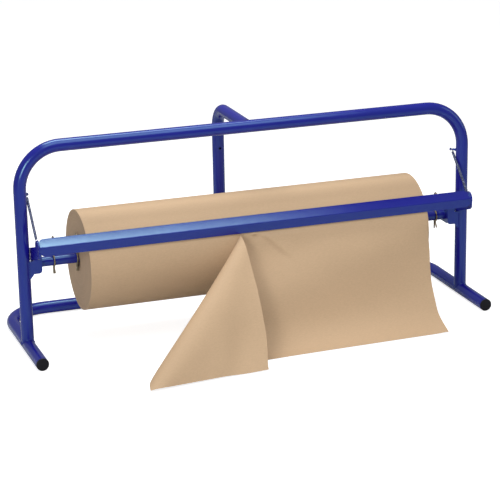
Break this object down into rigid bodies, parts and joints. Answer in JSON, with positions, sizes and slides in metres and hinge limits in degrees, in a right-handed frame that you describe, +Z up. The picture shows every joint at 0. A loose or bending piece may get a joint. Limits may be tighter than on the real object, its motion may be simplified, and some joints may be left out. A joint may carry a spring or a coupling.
{
  "type": "wrapping paper cutter",
  "caption": "Free-standing bent tube stand holding a wide paper roll on a cross shaft, with a sprung cutter bar across the front and a half torn sheet.",
  "frame": {"origin": "on the table, midway between the two uprights and in the plane of their axes", "axes": "+X to the right along the roll, +Y to the rear, +Z up"},
  "size_m": [1.22, 0.673, 0.535],
  "materials": {
    "blue_coat": "gloss",
    "cap_plastic": "satin",
    "zinc_steel": "satin",
    "spring_steel": "satin",
    "clip_steel": "satin",
    "bush_nylon": "satin",
    "kraft_paper": "matte",
    "core_board": "matte"
  },
  "bodies": {
    "stand": {"top_frame": "blue_coat", "base_frame": "blue_coat", "rear_post": "blue_coat", "foot_cap_left": "cap_plastic", "foot_cap_right": "cap_plastic", "post_cap": "cap_plastic", "bracket_left": "blue_coat", "bracket_right": "blue_coat", "pivot_pin_left": "zinc_steel", "pivot_pin_right": "zinc_steel", "pivot_spacer_left": "zinc_steel", "pivot_spacer_right": "zinc_steel", "spring_stud_left": "blue_coat", "spring_stud_right": "blue_coat", "spring_left": "spring_steel", "spring_right": "spring_steel"},
    "cutter": {"cutter_bar": "blue_coat", "cutter_arm_left": "blue_coat", "cutter_arm_right": "blue_coat", "pivot_bush_left": "bush_nylon", "pivot_bush_right": "bush_nylon"},
    "shaft": {"roll_shaft": "blue_coat", "shaft_plug_left": "cap_plastic", "shaft_plug_right": "cap_plastic", "paper_sheet": "kraft_paper"},
    "roll": {"core_tube": "core_board", "paper_roll": "kraft_paper"},
    "clip_lo": {"clip_left_outer": "clip_steel"},
    "clip_li": {"clip_left_inner": "clip_steel"},
    "clip_ro": {"clip_right_outer": "clip_steel"}
  },
  "joints": [
    {"name": "cutter_lift", "type": "hinge", "parent": "stand", "child": "cutter", "pos_m": [0, 0, 0.25], "axis": [-1, 0, 0], "range_deg": [0, 30], "deforming": ["spring_left", "spring_right"]},
    {"name": "shaft_out", "type": "slide", "parent": "stand", "child": "shaft", "axis": [0, 0.9397, 0.342], "range_m": [0, 0.06]},
    {"name": "roll_spin", "type": "hinge", "parent": "shaft", "child": "roll", "pos_m": [0, 0.016, 0.2158], "axis": [1, 0, 0], "continuous": true},
    {"name": "clip_lo_pull", "type": "slide", "parent": "shaft", "child": "clip_lo", "axis": [0, 0, 1], "range_m": [0, 0.06], "deforming": ["clip_left_outer"]},
    {"name": "clip_li_pull", "type": "slide", "parent": "shaft", "child": "clip_li", "axis": [0, 0, 1], "range_m": [0, 0.06], "deforming": ["clip_left_inner"]},
    {"name": "clip_ro_pull", "type": "slide", "parent": "shaft", "child": "clip_ro", "axis": [0, 0, 1], "range_m": [0, 0.06], "deforming": ["clip_right_outer"]}
  ]
}
